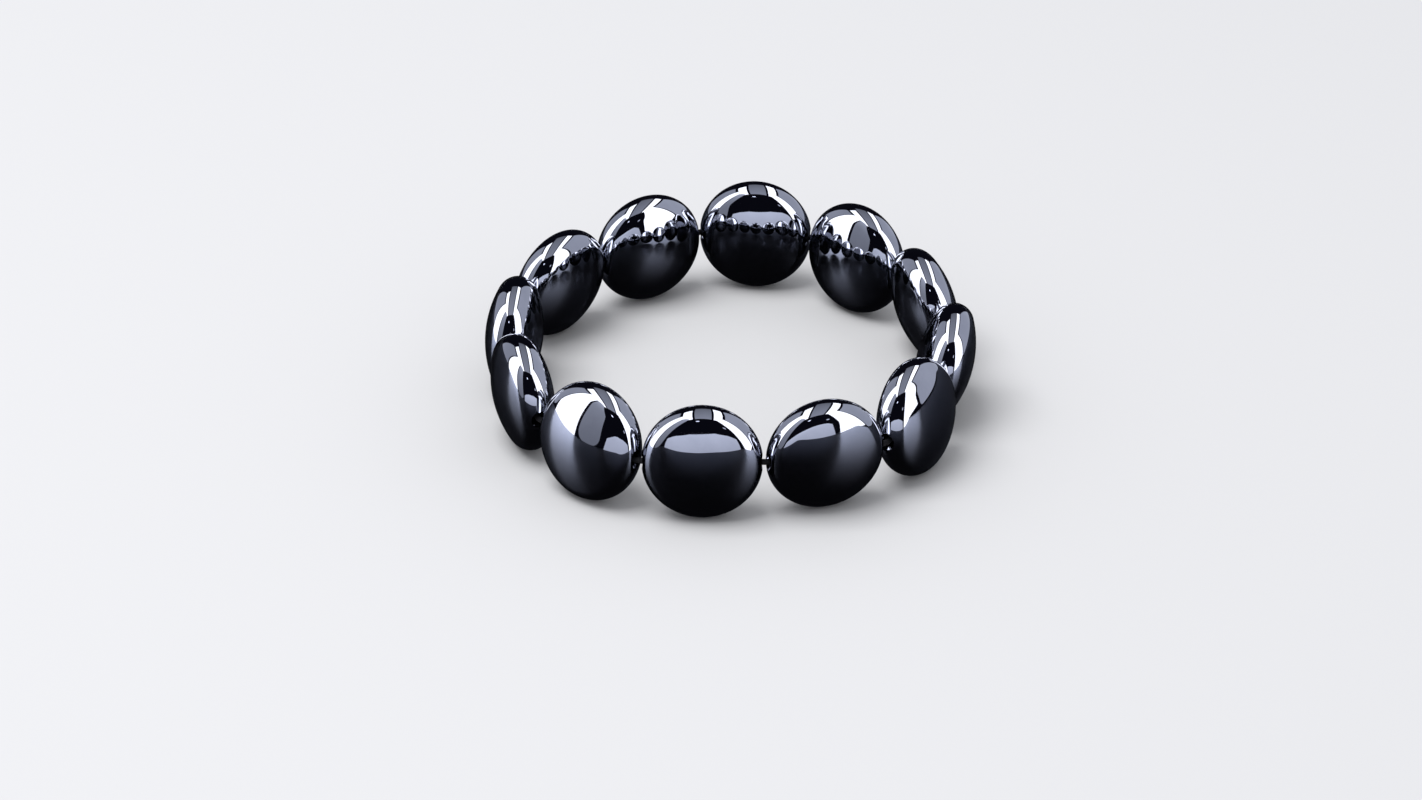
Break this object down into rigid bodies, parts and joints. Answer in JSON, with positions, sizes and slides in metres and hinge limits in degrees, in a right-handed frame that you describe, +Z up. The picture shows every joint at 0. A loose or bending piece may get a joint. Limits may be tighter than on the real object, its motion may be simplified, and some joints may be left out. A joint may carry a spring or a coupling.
{
  "type": "beaded stretch bracelet",
  "caption": "Stretch bracelet of equal round, domed coin beads, drilled across their width and strung edge to edge on a closed elastic cord, worn round the wrist.",
  "frame": {"origin": "on the surface that the bracelet lies on, at the middle of its box seen from above", "axes": "+Z up through the wrist opening; -Y towards the front bead, which faces the viewer; +X to its right"},
  "size_m": [0.0672, 0.0712, 0.016],
  "materials": {
    "bead_stone": "polished",
    "elastic": "matte"
  },
  "bodies": {
    "root": {"bead_01": "bead_stone", "bead_02": "bead_stone", "bead_03": "bead_stone", "bead_04": "bead_stone", "bead_05": "bead_stone", "bead_06": "bead_stone", "bead_07": "bead_stone", "bead_08": "bead_stone", "bead_09": "bead_stone", "bead_10": "bead_stone", "bead_11": "bead_stone", "bead_12": "bead_stone", "elastic_cord": "elastic"}
  },
  "joints": []
}
